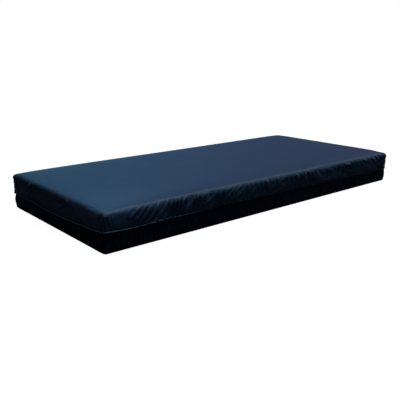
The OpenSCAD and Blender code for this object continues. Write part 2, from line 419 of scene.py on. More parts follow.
def cutFoam(tree, look):
    pores = placeGroup(tree, poreGroup, cells=look["cells"])
    marks = placeGroup(tree, handlingGroup, amount=look["marks"], grain=35.0)
    # the foam is darker in its pores' hollows: painted shade, with random mottling
    tone = mixColours(tree, pores["Shade"], look["dark"], look["light"])
    tone = mixColours(tree, marks["Mask"], tone, look["yellowed"])
    return {"Base Color": tone, "Roughness": shadeRange(tree, pores["Shade"], 0.85, 1.0),
            "Normal": bumpNode(tree, pores["Height"], look["depth"], 0.7), "Specular IOR Level": 0.15,
            "Sheen Weight": 0.12}


def wovenTape(tree, look):
    weave = placeGroup(tree, weaveGroup, threads=look["threads"], unevenness=0.8)
    marks = placeGroup(tree, handlingGroup, amount=look["marks"], grain=120.0)
    # the tape is darker in the gaps between its threads: painted shade between them
    tone = mixColours(tree, weave["Gaps"], look["light"], look["dark"])
    tone = mixColours(tree, marks["Mask"], tone, look["rubbed"])
    return {"Base Color": tone, "Roughness": shadeRange(tree, weave["Gaps"], *look["roughness"]),
            "Normal": bumpNode(tree, weave["Height"], look["depth"], 0.8), "Specular IOR Level": 0.3}


def hardSurface(tree, look):
    # metal and moulded plastic with rubbed edges
    marks = placeGroup(tree, handlingGroup, amount=look["wear"], grain=look["grain"])
    return {"Base Color": mixColours(tree, marks["Mask"], look["colour"], look["worn"]),
            "Roughness": shadeRange(tree, marks["Mask"], *look["roughness"]),
            "Normal": bumpNode(tree, marks["Mask"], 0.00006, 0.5), "Metallic": look["metallic"]}


clothLook = {
    "dark": (0.0197, 0.0409, 0.0741), "light": (0.0258, 0.0511, 0.0907), "rubbed": (0.035, 0.065, 0.11),
    "roughness": (0.48, 0.60), "specular": 0.13, "sheen": 0.05, "sheenTint": (0.5, 0.7, 1.0),
    "threads": 1500.0, "weaveDepth": 0.00008, "weaveStrength": 0.25,
    "creaseSize": 7.0, "creaseDepth": 0.0012, "creaseStrength": 0.25, "seed": 2.0,
    "marks": 0.10, "grain": 45.0,
}
topClothLook = {**clothLook, "stitchHeight": 0.0035, "thread": (0.03, 0.06, 0.10)}
# the base cover's cloth is far darker than the top cover's: partly its own darker navy, partly painted shade
# for the shade under the skirt
baseClothLook = {
    **clothLook, "dark": (0.0020, 0.007, 0.020), "light": (0.0032, 0.0105, 0.029),
    "rubbed": (0.010, 0.020, 0.038), "seed": 9.0, "creaseSize": 11.0, "sheen": 0.03, "specular": 0.06,
}
# the piping is paler than the cover: partly its own lighter blue, partly a painted highlight for the light its
# raised edge catches
pipingLook = {
    **clothLook, "dark": (0.06, 0.14, 0.23), "light": (0.085, 0.185, 0.30), "seed": 5.0, "creaseSize": 60.0,
    "creaseDepth": 0.0002, "marks": 0.2,
}
tapeLook = {
    "light": (0.022, 0.024, 0.030), "dark": (0.006, 0.007, 0.009), "rubbed": (0.06, 0.06, 0.065),
    "roughness": (0.6, 0.85), "threads": 1100.0, "depth": 0.00012, "marks": 0.25,
}
coilLook = {
    "colour": (0.018, 0.019, 0.022), "worn": (0.07, 0.07, 0.075), "roughness": (0.28, 0.5), "wear": 0.3,
    "grain": 200.0, "metallic": 0.0,
}
sliderLook = {
    "colour": (0.055, 0.057, 0.062), "worn": (0.55, 0.55, 0.56), "roughness": (0.3, 0.5), "wear": 0.5,
    "grain": 400.0, "metallic": 0.9,
}
stopLook = {
    "colour": (0.16, 0.165, 0.175), "worn": (0.5, 0.5, 0.52), "roughness": (0.25, 0.45), "wear": 0.4,
    "grain": 500.0, "metallic": 1.0,
}
labelLook = {"light": (0.80, 0.80, 0.76), "dark": (0.60, 0.60, 0.57), "rubbed": (0.5, 0.49, 0.46),
             "roughness": (0.7, 0.9), "threads": 1500.0, "depth": 0.00005, "marks": 0.2}
tubFoamLook = {"dark": (0.62, 0.53, 0.33), "light": (0.80, 0.73, 0.52), "yellowed": (0.66, 0.50, 0.24),
               "cells": 950.0, "depth": 0.0006, "marks": 0.25}
railFoamLook = {
    **tubFoamLook, "dark": (0.64, 0.64, 0.58), "light": (0.84, 0.84, 0.79), "yellowed": (0.74, 0.68, 0.48),
}
headFoamLook = {
    **tubFoamLook, "dark": (0.26, 0.40, 0.55), "light": (0.42, 0.58, 0.72), "yellowed": (0.42, 0.52, 0.55),
}
torsoFoamLook = {
    **tubFoamLook, "dark": (0.62, 0.40, 0.38), "light": (0.80, 0.60, 0.57), "yellowed": (0.72, 0.50, 0.36),
}
heelFoamLook = {
    **tubFoamLook, "dark": (0.36, 0.54, 0.36), "light": (0.54, 0.71, 0.53), "yellowed": (0.55, 0.62, 0.36),
}

labelCloth = finishMaterial("labelCloth", wovenTape, labelLook)
tubFoam = finishMaterial("tubFoam", cutFoam, tubFoamLook)
railFoam = finishMaterial("railFoam", cutFoam, railFoamLook)
headFoam = finishMaterial("headZoneFoamBlue", cutFoam, headFoamLook)
torsoFoam = finishMaterial("torsoZoneFoamRose", cutFoam, torsoFoamLook)
heelFoam = finishMaterial("heelZoneFoamGreen", cutFoam, heelFoamLook)
topCloth = finishMaterial("topCoverCloth", coatedCloth, topClothLook)
baseCloth = finishMaterial("baseCoverCloth", coatedCloth, baseClothLook)
pipingCloth = finishMaterial("pipingCloth", coatedCloth, pipingLook)
zipTapeCloth = finishMaterial("zipTapeCloth", wovenTape, tapeLook)
coilPlastic = finishMaterial("coilPlastic", hardSurface, coilLook)
sliderMetal = finishMaterial("sliderMetal", hardSurface, sliderLook)
stopMetal = finishMaterial("stopMetal", hardSurface, stopLook)
print("materials ready")


topCoverShape = {
    "corner": 0.015, "edge": 0.018, "crown": 0.0113, "bow": 0.0018, "cloth": 0.0011,
    "wallRings": 15, "edgeRings": 7, "rimRings": 3, "panelInset": 0.10,
    "folds": {"depth": 0.0110, "pitch": 0.034, "lean": 0.80},
    "puckers": {"depth": 0.0042, "pitch": 0.026, "lean": 0.7},
    "gathers": {"depth": 0.0030, "pitch": 0.017, "reach": 0.055},
    "pleat": {"depth": 0.0055, "lean": 0.55, "width": 0.007, "otherCorners": 0.3, "away": 0.016, "drop": 0.03},
    "unevenness": 0.0020, "keptOffFoam": 0.0035,
}
foldsStart = 0.09  # height from which the folds lean


def ridge(phase, sharpness):
    return (0.5 + 0.5 * np.cos(turn * phase)) ** sharpness


def wallFolds(run, height, shape):
    # how far the skirt's cloth stands out, from the distance round the cover and the height
    folds, puckers, gathers, pleats = (shape[name] for name in ("folds", "puckers", "gathers", "pleat"))
    up = height - foldsStart
    share = up / (topHeight - foldsStart)
    drift = noiseAlong(run, height * 0.6, 0.09, 3.1)
    patches = 0.5 + 0.5 * noiseAlong(run, height * 0.3, 0.16, 7.7)
    # tension folds that lean from the hem towards the head end
    lean = (run - folds["lean"] * up) / folds["pitch"] + 0.7 * drift
    near = hump(run, 0.29, 0.13) + 0.40 * hump(run, 0.75, 0.25) + 0.30 * patches * smoothStep(0.05, 0.2, run)
    tension = folds["depth"] * near * ridge(lean, 3.5) * smoothStep(-0.35, 0.12, share)
    tension = tension * (1 - smoothStep(0.7, 1.1, share))
    # short puckers that hang from the top edge, and lean the other way at the head end
    lean = puckers["lean"] * (height - topHeight) * smoothStep(1.1, 1.7, run)
    tight = (run + lean) / puckers["pitch"] + 1.2 * noiseAlong(run, height * 0.0, 0.06, 1.7)
    pucker = puckers["depth"] * np.clip(0.2 + 1.3 * patches, 0, 2) * ridge(tight, 1.6)
    pucker = pucker * hump(share, 0.80, 0.30)
    # gathers at the corners, and one deep pleat beside each corner
    gather = np.zeros(len(run))
    pleat = np.zeros(len(run))
    for k, corner in enumerate([*cornerRuns, rimLength]):
        away = run - corner
        phase = (away + 0.2 * up) / gathers["pitch"] + 0.3 * drift
        gather += hump(away, 0, gathers["reach"]) * ridge(phase, 1.4)
        line = away + pleats["away"] + pleats["lean"] * (topHeight - pleats["drop"] - height)
        deep = 1.0 if k % 4 == 0 else pleats["otherCorners"]
        pleat += deep * hump(line, 0, pleats["width"]) * hump(share, 0.66, 0.22)
        pleat -= deep * 0.5 * hump(line, 0.015, 0.008) * hump(share, 0.6, 0.3)
    gather *= gathers["depth"] * (0.35 + 0.65 * smoothStep(0.1, 0.9, share))
    broad = shape["unevenness"] * noiseAlong(run, height * 0.8, 0.15, 12.3)
    return tension + pucker + gather + broad - pleats["depth"] * pleat


def crownAt(x, y, shape):
    # the lying surface swells fast near its edges and a little more at the back of the foot end
    across = 1 - np.exp(-np.clip(halfWidth - np.abs(y), 0, 1) / 0.035)
    along = 1 - np.exp(-np.clip(halfLength - np.abs(x), 0, 1) / 0.05)
    swell = shape["crown"] * across * along * (1 + 0.30 * hump(x, -0.60, 0.45) * smoothStep(-0.1, 0.35, y))
    frontDip = 0.004 * smoothStep(halfWidth - 0.13, halfWidth - 0.02, -y) * smoothStep(-0.5, 0.3, x)
    return swell - frontDip


def withCrown(places, shape):
    return np.column_stack([places, topHeight + crownAt(places[:, 0], places[:, 1], shape)])


def halveRing(first, count, second):
    # three faces to every second point, between a ring and the next one with half its points
    faces = []
    for i in range(count // 2):
        a, b, c = first + 2 * i, first + 2 * i + 1, first + (2 * i + 2) % count
        d, e = second + i, second + (i + 1) % (count // 2)
        faces += [(a, b, d), (b, e, d), (b, c, e)]
    return faces


def makeTopCover(shape):
    corner, edge = shape["corner"], shape["edge"]
    wallTop = topHeight - edge
    rings = []  # each ring: its places and the height of every point
    for k in range(shape["wallRings"]):
        share = (k / (shape["wallRings"] - 1)) ** 0.9
        height = hemZ + (wallTop - hemZ) * share
        bow = shape["bow"] * math.sin(math.pi * share) ** 0.7
        rings.append((rimPlaces + rimNormals * bow, height))
    for k in range(1, shape["edgeRings"] + 1):
        angle = math.pi / 2 * k / shape["edgeRings"]
        inset = edge * (1 - math.cos(angle))
        places, _ = roundTheRim(inset, max(corner - inset, 0.004))
        rings.append((places, np.full(ringCount, wallTop + edge * math.sin(angle))))
    rimStep = 0.006
    for k in range(1, shape["rimRings"] + 1):
        places, _ = roundTheRim(edge + rimStep * k, 0.006)
        rings.append((places, np.full(ringCount, topHeight)))
    points = []
    for k, (places, height) in enumerate(rings):
        out = wallFolds(rimRun, height, shape)
        fade = 1.0
        if k >= shape["wallRings"] + 2:
            fade = max(0.0, 1 - (k - shape["wallRings"] - 1) / (shape["edgeRings"] + 1))
        if k == 0:
            out = out * 0.6
        out = out * fade * stillSide
        moved = places + rimNormals * out[:, None]
        z = height + crownAt(moved[:, 0], moved[:, 1], shape) * smoothStep(0.4, 1.0, k / shape["wallRings"])
        points.append(np.column_stack([moved, z]))
    faces = gridOfRings(len(rings), ringCount)
    # the panel: two steps to a coarser ring, then a plain grid
    inner, _ = roundTheRim(shape["panelInset"], 0.0001, 4)
    outer, _ = roundTheRim(edge + rimStep * shape["rimRings"] + 0.014, 0.004, 2)
    last = (len(rings) - 1) * ringCount
    start = last + ringCount
    second = start + ringCount // 2
    quarter = ringCount // 4
    points.append(withCrown(outer, shape))
    points.append(withCrown(outer[::2] * 0.6 + inner * 0.4, shape))
    faces += halveRing(last, ringCount, start) + halveRing(start, ringCount // 2, second)
    width, rows = sideCounts["long"] // 4 + 1, sideCounts["short"] // 4 + 1
    xs = np.linspace(-halfLength + shape["panelInset"], halfLength - shape["panelInset"], width)
    ys = np.linspace(-halfWidth + shape["panelInset"], halfWidth - shape["panelInset"], rows)
    points.append(withCrown(np.array([(x, y) for y in ys for x in xs]), shape))
    faces += gridFaces(width, rows, second + quarter)
    border = gridBorder(width, rows, second + quarter)
    for i in range(quarter):
        j = (i + 1) % quarter
        faces.append((second + i, second + j, border[j], border[i]))
    return np.concatenate(points), faces


def foamForm(inset, low, high, edge, corner, crowned=False):
    # a plain closed form that the cloth rests against while it settles
    steps, divide = 6, 4
    rings = [(inset + edge * 0.4, corner, low)]
    rings += [(inset, corner, low + (high - edge - low) * k / steps) for k in range(1, steps + 1)]
    for k in range(1, steps + 1):
        angle = math.pi / 2 * k / steps
        rings.append((inset + edge * (1 - math.cos(angle)), corner, high - edge + edge * math.sin(angle)))
    rings.append((inset + 0.12, 0.0001, high))
    count = ringCount // divide
    points = np.concatenate([np.column_stack([roundTheRim(depth, radius, divide)[0], np.full(count, z)])
                             for depth, radius, z in rings])
    if crowned:
        crown = crownAt(points[:, 0], points[:, 1], topCoverShape)
        points[:, 2] += crown * smoothStep(low, high, points[:, 2])
    faces = gridOfRings(len(rings), count)
    faces.append(tuple(range(count))[::-1])
    faces.append(tuple(range((len(rings) - 1) * count, len(rings) * count)))
    form = meshObject("foamForm", points, faces)
    form.modifiers.new("Collision", "COLLISION")
    form.collision.thickness_outer = 0.001
    form.collision.cloth_friction = 8.0
    return form


def settleCloth(points, faces, restPoints, held, form, settings):
    # lets the cloth settle from points, with the sizes it has in restPoints; held is 1 where it can't move
    skin = meshObject("settling", points, faces)
    skin.shape_key_add(name="Basis")
    restKey = skin.shape_key_add(name="rest")
    restKey.data.foreach_set("co", restPoints.astype(np.float32).ravel())
    group = skin.vertex_groups.new(name="held")
    for k in np.nonzero(held > 0)[0]:
        group.add([int(k)], float(held[k]), "REPLACE")
    cloth = skin.modifiers.new("Cloth", "CLOTH")
    values = cloth.settings
    values.quality = settings["quality"]
    values.mass = 0.2
    values.bending_stiffness = settings["bending"]
    values.bending_damping = 0.5
    values.air_damping = 4
    for way in ("tension", "compression", "shear"):
        setattr(values, way + "_stiffness", settings[way])
        setattr(values, way + "_damping", 10)
    values.vertex_group_mass = "held"
    values.pin_stiffness = 5
    values.rest_shape_key = restKey
    values.effector_weights.gravity = settings["gravity"]
    cloth.collision_settings.use_collision = True
    cloth.collision_settings.distance_min = 0.001
    cloth.collision_settings.collision_quality = 2
    scene = bpy.context.scene
    cloth.point_cache.frame_start, cloth.point_cache.frame_end = 1, settings["frames"]
    for frameNumber in range(1, settings["frames"] + 1):
        scene.frame_set(frameNumber)
    settled = skin.evaluated_get(bpy.context.evaluated_depsgraph_get())
    found = np.zeros(len(points) * 3, np.float32)
    settled.data.vertices.foreach_get("co", found)
    found = found.reshape(-1, 3).astype(float)
    scene.frame_set(1)
    for done in (skin, form):
        data = done.data
        bpy.data.objects.remove(done)
        bpy.data.meshes.remove(data)
    return found


def wrinklesOnly(points, found, count, settings):
    # takes most of the broad drift out of the first points' moves and deepens the wrinkles that are left
    away = (found - points)[:count].reshape(-1, ringCount, 3)
    reach = 30
    window = np.hanning(2 * reach + 3)[1:-1]
    window = window / window.sum()
    wide = np.concatenate([away[:, -reach:], away, away[:, :reach]], axis=1)
    broad = np.apply_along_axis(lambda line: np.convolve(line, window, "valid"), 1, wide)
    kept = found.copy()
    moves = broad * settings["drift"] + (away - broad) * settings["deepen"]
    kept[:count] = points[:count] + moves.reshape(-1, 3)
    return kept


def limitMove(points, found, loose, limit):
    # keeps every point within limit of its old place, and gives it only the loose share of its move
    away = found - points
    far = np.linalg.norm(away, axis=1)
    print(f"cloth settled by {far.mean() * 1000:.2f} mm, at most {far.max() * 1000:.2f} mm")
    share = loose * np.minimum(1, limit / np.maximum(far, 1e-9))
    return points + away * share[:, None]


def keepOutside(points, rings, depth):
    # stops the deepest folds of the walls before they reach the foam
    walls = points[:rings * ringCount].reshape(rings, ringCount, 3)
    out = ((walls[:, :, :2] - rimPlaces) * rimNormals).sum(2)
    tooDeep = np.maximum(-depth - out, 0)
    walls[:, :, :2] += rimNormals * tooDeep[:, :, None] * 0.9


settlingTop = {"quality": 4, "tension": 20, "compression": 20, "shear": 8, "bending": 0.02, "gravity": 0.05,
               "frames": 12, "limit": 0.010, "slack": 0.010, "pull": 0.020, "drift": 0.2, "deepen": 1.7}

coverPoints, coverFaces = makeTopCover(topCoverShape)
wallRings = topCoverShape["wallRings"]
looseRings = wallRings + topCoverShape["edgeRings"] + topCoverShape["rimRings"]
wallEnd = looseRings * ringCount
held = np.ones(len(coverPoints))
held[ringCount:wallEnd - 2 * ringCount] = 0
# the cloth was cut a little larger than the foam, and its hem has been pulled along the sides
restPoints = coverPoints.copy()
restPoints[:wallEnd, :2] *= 1 + settlingTop["slack"]
pulled = hump(rimRun, 0.33, 0.20) + 0.55 * hump(rimRun, 0.80, 0.25) - 0.5 * hump(rimRun, 1.65, 0.30)
pulled = settlingTop["pull"] * (pulled + 0.4 * np.sin(rimRun * 5.3) * (rimRun > 2.0))
for k in range(wallRings):
    share = 1 - k / (wallRings - 1)
    restPoints[k * ringCount:(k + 1) * ringCount, :2] += rimTangents * (pulled * share)[:, None]
form = foamForm(inset=0.005, low=0.06, high=topHeight - 0.0015, edge=0.021, corner=0.014, crowned=True)
found = settleCloth(coverPoints, coverFaces, restPoints, held, form, settlingTop)
found = wrinklesOnly(coverPoints, found, wallEnd, settlingTop)
loose = np.ones(len(coverPoints))
aboveHem = coverPoints[:wallEnd, 2] - np.tile(hemZ, looseRings)
loose[:wallEnd] = np.tile(stillSide, looseRings) * (0.5 + 0.5 * smoothStep(0, 0.02, aboveHem))
coverPoints = limitMove(coverPoints, found, loose, settlingTop["limit"])
keepOutside(coverPoints, wallRings, topCoverShape["keptOffFoam"])
# surface coordinates for the stitch rows; the panel's height of 1 m is far above them
aboveHem = np.full(len(coverPoints), 1.0)
wallHeights = coverPoints[:wallRings * ringCount, 2]
aboveHem[:len(wallHeights)] = wallHeights - np.tile(wallHeights[:ringCount], wallRings)
topCover = newPiece("topCover", coverPoints, coverFaces, "top_cover", topCloth, "top_cover",
                    np.column_stack([np.resize(rimRun, len(coverPoints)), aboveHem]))
addThickness(topCover, topCoverShape["cloth"], -1)
print("top cover ready", len(topCover.data.polygons))


pipingShape = {"radius": 0.0021, "sides": 10, "out": 0.0011, "tuck": 0.0034, "tuckedFrom": (0.25, 0.60),
               "tuckedTo": (1.98, 2.08)}


def makePiping(shape):
    hemPoints = coverPoints[:ringCount]
    # the skirt has rolled over the piping along most of the front
    tucked = smoothStep(*shape["tuckedFrom"], rimRun) * (1 - smoothStep(*shape["tuckedTo"], rimRun))
    points = []
    for k in range(shape["sides"]):
        angle = turn * k / shape["sides"]
        away = shape["radius"] * math.cos(angle) + shape["out"] - shape["tuck"] * tucked
        up = shape["radius"] * math.sin(angle) - shape["radius"] * (0.8 - 0.7 * tucked)
        ring = hemPoints.copy()
        ring[:, :2] += rimNormals * away[:, None]
        ring[:, 2] += up
        points.append(ring)
    # the last ring is the first one again, and closes the tube
    faces = gridOfRings(shape["sides"] + 1, ringCount)
    total = shape["sides"] * ringCount
    return np.concatenate(points), [tuple(a % total for a in face) for face in faces]


pipingPoints, pipingFaces = makePiping(pipingShape)
newPiece("skirtPiping", pipingPoints, pipingFaces, "top_cover", pipingCloth, "skirt_piping")
print("piping ready")


baseCoverShape = {
    "corner": 0.014, "edge": 0.006, "bulge": 0.0062, "cloth": 0.0011, "wallRings": 16, "edgeRings": 4,
    "foldDepth": 0.0064, "gatherDepth": 0.0046,
}


def baseFolds(run, height, shape):
    share = height / 0.09
    drift = noiseAlong(run, height * 0.7, 0.07, 21.0)
    patches = 0.5 + 0.5 * noiseAlong(run, height * 0.2, 0.20, 31.0)
    gather = hump(run, 0.12, 0.13) * ridge((run - 0.1 * height) / 0.026 + 0.5 * drift, 1.6)
    lean = hump(run, 0.42, 0.20) * ridge((run - 0.8 * height) / 0.040 + 0.6 * drift, 2.0)
    corners = np.zeros(len(run))
    for corner in [*cornerRuns, rimLength]:
        corners += hump(run, corner, 0.045) * ridge((run - corner) / 0.019 + 0.3 * drift, 1.5)
    rest = 0.5 * patches * ridge((run - 0.5 * height) / 0.06 + drift, 2.0)
    out = shape["gatherDepth"] * (gather + 0.8 * corners) + shape["foldDepth"] * (lean + rest)
    return out * smoothStep(0.02, 0.3, share)


def makeBaseCover(shape):
    inset = halfLength - trayHigh.x
    flat = np.zeros(ringCount)
    rings = [(roundTheRim(inset + 0.10, 0.0001)[0], flat), (roundTheRim(inset + 0.05, 0.004)[0], flat)]
    for k in range(shape["edgeRings"] + 1):
        angle = math.pi / 2 * k / shape["edgeRings"]
        depth = inset - shape["bulge"] * 0.8 + shape["edge"] * (1 - math.sin(angle))
        rings.append((roundTheRim(depth, shape["corner"])[0], flat + shape["edge"] * (1 - math.cos(angle))))
    wallEnd = trayHigh.z + zipLift
    for k in range(1, shape["wallRings"] + 1):
        share = k / shape["wallRings"]
        height = shape["edge"] + (wallEnd - shape["edge"]) * share
        out = shape["bulge"] * (0.8 + 0.2 * math.sin(math.pi * share))
        out = out * (1 - smoothStep(0.045, 0.075, height) * sliderSide) * (1 - smoothStep(0.78, 1.0, share))
        folds = baseFolds(rimRun, height, shape) * (1 - 0.7 * sliderSide) * (1 - smoothStep(0.8, 1.0, share))
        rings.append((roundTheRim(inset, shape["corner"])[0] + rimNormals * (out + folds)[:, None], height))
    points = np.concatenate([np.column_stack([p, z]) for p, z in rings])
    faces = gridOfRings(len(rings), ringCount)
    faces.append(tuple(range(ringCount))[::-1])  # the flat underside
    return points, faces


settlingBase = {**settlingTop, "slack": 0.015, "pull": 0.014, "limit": 0.007, "gravity": 0.2}

basePoints, baseFaces = makeBaseCover(baseCoverShape)
ringsOfBase = len(basePoints) // ringCount
held = np.ones(len(basePoints))
held[4 * ringCount:-2 * ringCount] = 0
restPoints = basePoints.copy()
restPoints[2 * ringCount:, :2] *= 1 + settlingBase["slack"]
pulled = hump(rimRun, 0.45, 0.22) + 0.5 * hump(rimRun, 1.0, 0.3) + 0.3 * np.sin(rimRun * 4.7)
pulled = settlingBase["pull"] * pulled
for k in range(ringsOfBase):
    share = 1 - min(k / (ringsOfBase - 3), 1)
    restPoints[k * ringCount:(k + 1) * ringCount, :2] += rimTangents * (pulled * share)[:, None]
form = foamForm(inset=halfLength - trayHigh.x + 0.004, low=0.003, high=0.09, edge=0.004, corner=0.012)
# only the rings' faces settle: the large face underneath would slow the cloth down
found = settleCloth(basePoints, gridOfRings(ringsOfBase, ringCount), restPoints, held, form, settlingBase)
loose = np.tile(1 - 0.8 * sliderSide, ringsOfBase)
loose *= 1 - smoothStep(0.058, 0.074, basePoints[:, 2] - np.tile(zipLift, ringsOfBase))
found = wrinklesOnly(basePoints, found, len(basePoints), settlingBase)
basePoints = limitMove(basePoints, found, loose, settlingBase["limit"])
baseCover = newPiece("baseCover", basePoints, baseFaces, "base_cover", baseCloth, "base_cover")
addThickness(baseCover, baseCoverShape["cloth"], -1)
print("base cover ready")


careLabelShape = {"length": 0.060, "width": 0.110, "fromHead": 0.150, "thickness": 0.0003, "steps": (24, 44),
                  "height": 0.0014, "curl": 0.0004, "ripple": 0.00012}


def makeCareLabel(shape):
    along, across = shape["steps"]
    points = []
    for j in range(across + 1):
        for i in range(along + 1):
            u, v = i / along - 0.5, j / across - 0.5
            x = halfLength - shape["fromHead"] + u * shape["length"]
            y = v * shape["width"]
            curl = shape["curl"] * (abs(2 * u) ** 6 + abs(2 * v) ** 8)
            curl += shape["ripple"] * noise.noise(Vector((x * 60, y * 60, 4)))
            points.append((x, y, shape["height"] + max(curl, 0.0)))
    return points, gridFaces(along + 1, across + 1)


labelPoints, labelFaces = makeCareLabel(careLabelShape)
careLabel = newPiece("careLabel", labelPoints, labelFaces, "base_cover", labelCloth,
                     "care_label")
addThickness(careLabel, careLabelShape["thickness"], -1)
print("care label ready")


zipShape = {"tapeThickness": 0.0006, "pitch": 0.0033, "wire": 0.00052, "head": 0.0008, "coilWidth": 0.0046,
            "coilDepth": 0.0022, "seamIn": 0.0050, "seam": (0.126, 0.134),
            "tapeBow": 0.0002, "gapPastSlider": 0.022}
lowTapeLow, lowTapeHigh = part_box("lower_zip_tape")
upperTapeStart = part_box("upper_zip_tape")[0].z
tapeMiddle = halfWidth - lowTapeHigh.y + zipShape["tapeThickness"] / 2
sliderLow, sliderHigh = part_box("zip_slider")


def zipRim(depth):
    cornerReach = 0.032
    return roundTheRim(depth, cornerReach - depth)


def makeTape(name, body, standsFor, paths, thickness):
    # paths: rings of places and heights, from one edge of the tape to the other
    points = np.concatenate([np.column_stack([places, height]) for places, height in paths])
    faces = gridOfRings(len(paths), ringCount)
    piece = newPiece(name, points, faces, body, zipTapeCloth, standsFor)
    addThickness(piece, thickness, 0)
    return piece


def makeZipTapes(shape):
    places, normals = zipRim(tapeMiddle)
    low = []
    for share in (0.0, 0.35, 0.7, 1.0):
        height = lowTapeLow.z + (lowTapeHigh.z - lowTapeLow.z) * share + zipLift
        bow = shape["tapeBow"] * np.sin(rimRun / 0.011)[:, None] * (1 - share)
        low.append((places + normals * bow, height))
    lower = makeTape("lowerZipTape", "base_cover", "lower_zip_tape", low, shape["tapeThickness"])
    # the upper tape stands behind the coil, leans out, and is sewn to the skirt
    high = [(places, upperTapeStart + 0.006 * share + zipLift) for share in (0.0, 0.5, 1.0)]
    high.append((zipRim(tapeMiddle - 0.0028)[0], upperTapeStart + 0.011 + zipLift * 0.8))
    high += [(zipRim(shape["seamIn"])[0], np.full(ringCount, height)) for height in shape["seam"]]
    return lower, makeTape("upperZipTape", "top_cover", "upper_zip_tape", high, shape["tapeThickness"])


def makeCoil(name, body, standsFor, way, offset, shape):
    # a row of bent loops; way is 1 for the coil above the line and -1 for the one below it
    places, normals = zipRim(tapeMiddle)
    steps = np.linalg.norm(np.roll(places, -1, 0) - places, axis=1)
    runs = np.concatenate([[0], np.cumsum(steps)])
    total = runs[-1]
    count = int(total / shape["pitch"])
    where = (np.arange(count) + offset) * total / count
    tracks = np.column_stack([places, normals, zipLift])
    px, py, nx, ny, lift = (np.interp(where, runs, np.append(line, line[0])) for line in tracks.T)
    # the loop's line in its own frame: (away from the tape, up from the zip's line)
    width, out, wire = shape["coilWidth"], shape["coilDepth"] / 2, shape["wire"]
    line = [(out * 0.55, width), (out, width * 0.72), (out, 0.1 * width), (out * 0.4, -shape["head"]),
            (-out * 0.4, -shape["head"]), (-out, 0.1 * width), (-out, width * 0.72), (-out * 0.55, width)]
    lean = [-0.30, -0.22, 0.0, 0.0, 0.0, 0.0, 0.22, 0.30]
    # the coil is open where the slider stands and between the two ends of the zip
    gapStart, gapEnd = sliderLow.x + 0.006, sliderHigh.x + shape["gapPastSlider"]
    points, faces = [], []
    for k in range(count):
        if py[k] > halfWidth - 0.02 and gapStart < px[k] < gapEnd:
            continue
        first = len(points)
        for j, (away, up) in enumerate(line):
            before, after = line[max(j - 1, 0)], line[min(j + 1, len(line) - 1)]
            da, du = after[0] - before[0], after[1] - before[1]
            size = math.hypot(da, du)
            side = (du / size, -da / size)
            for c in range(4):
                angle = turn * (c + 0.5) / 4
                a = away + wire * math.cos(angle) * side[0] * 1.3
                u = up + wire * math.cos(angle) * side[1] * 1.3
                t = lean[j] * shape["pitch"] + wire * 1.5 * math.sin(angle)
                points.append((px[k] + nx[k] * a - ny[k] * t, py[k] + ny[k] * a + nx[k] * t,
                               zipHeight + lift[k] + way * u))
        last = first + 4 * (len(line) - 1)
        sides = [(j + c, j + (c + 1) % 4) for j in range(first, last, 4) for c in range(4)]
        loop = [(a, b, b + 4, a + 4) for a, b in sides]
        loop += [tuple(first + c for c in (0, 3, 2, 1)), tuple(last + c for c in range(4))]
        faces += loop if way > 0 else [face[::-1] for face in loop]
    return newPiece(name, points, faces, body, coilPlastic, standsFor)


lowerZipTape, upperZipTape = makeZipTapes(zipShape)
upperZipCoil = makeCoil("upperZipCoil", "top_cover", "upper_zip_coil", 1, 0.0, zipShape)
makeCoil("lowerZipCoil", "base_cover", "lower_zip_coil", -1, 0.5, zipShape)
print("zip ready", len(upperZipCoil.data.polygons))


foamShape = {
    "soft": 0.004, "outerTop": 0.030, "settle": 0.0042, "unevenness": 0.0005, "outerCorner": 0.024,
    "cutWidth": 0.004, "cutDepth": 0.035, "cutPitch": 0.032, "cuts": 5, "cutsFromHead": (0.800, 1.250),
}
cellShape = {
    "cut": 0.007, "depth": 0.050, "rounding": 0.006, "swell": 0.0012, "across": 9,
    "rows": {"head_zone_foam": 5, "torso_zone_foam": 10, "heel_zone_foam": 3},
}


def arcPoints(centreA, centreB, radius, start, end, steps):
    found = []
    for k in range(steps + 1):
        angle = math.radians(start + (end - start) * k / steps)
        found.append((centreA + radius * math.cos(angle), centreB + radius * math.sin(angle)))
    return found


def spread(first, last, step):
    # points between two places, without the places themselves
    count = max(int(abs(last[0] - first[0]) / step), 1)
    return [(first[0] + (last[0] - first[0]) * k / count, first[1] + (last[1] - first[1]) * k / count)
            for k in range(1, count)]


def roundedProfile(low, high, radii, step=0.022):
    # a rectangle in (across, up), with a radius for each corner: low left, low right, high right, high left
    (a0, b0), (a1, b1) = low, high
    r = radii
    parts = [
        arcPoints(a0 + r[0], b0 + r[0], r[0], 180, 270, 4),
        arcPoints(a1 - r[1], b0 + r[1], r[1], 270, 360, 4),
        arcPoints(a1 - r[2], b1 - r[2], r[2], 0, 90, 6),
        arcPoints(a0 + r[3], b1 - r[3], r[3], 90, 180, 6),
    ]
    line = []
    for k, part in enumerate(parts):
        line += part
        line += spread(part[-1], parts[(k + 1) % 4][0], step)
    return line


def stations(low, high, rounding, step=0.022):
    # where the sections of a swept block lie, with how far each one is drawn in
    found = [(low + rounding * (1 - math.cos(math.radians(a))), rounding * (1 - math.sin(math.radians(a))))
             for a in (0, 25, 50, 75)]
    count = int((high - low - 2 * rounding) / step)
    found += [(low + rounding + (high - low - 2 * rounding) * k / count, 0.0) for k in range(count + 1)]
    found += [(high - rounding * (1 - math.cos(math.radians(a))), rounding * (1 - math.sin(math.radians(a))))
              for a in (75, 50, 25, 0)]
    return found


def settle(points, shape):
    # foam follows the crown of the cover, and its cut faces are a little uneven
    x, y, z = points.T
    share = smoothStep(0.07, topHeight, z)
    wave = noiseAlong(x + z * 0.7, y - z * 0.4, 0.05, 40.0) * shape["unevenness"]
    moved = points.copy()
    moved[:, 2] += (crownAt(x, y, topCoverShape) - shape["settle"]) * share + wave * smoothStep(0.01, 0.03, z)
    return moved


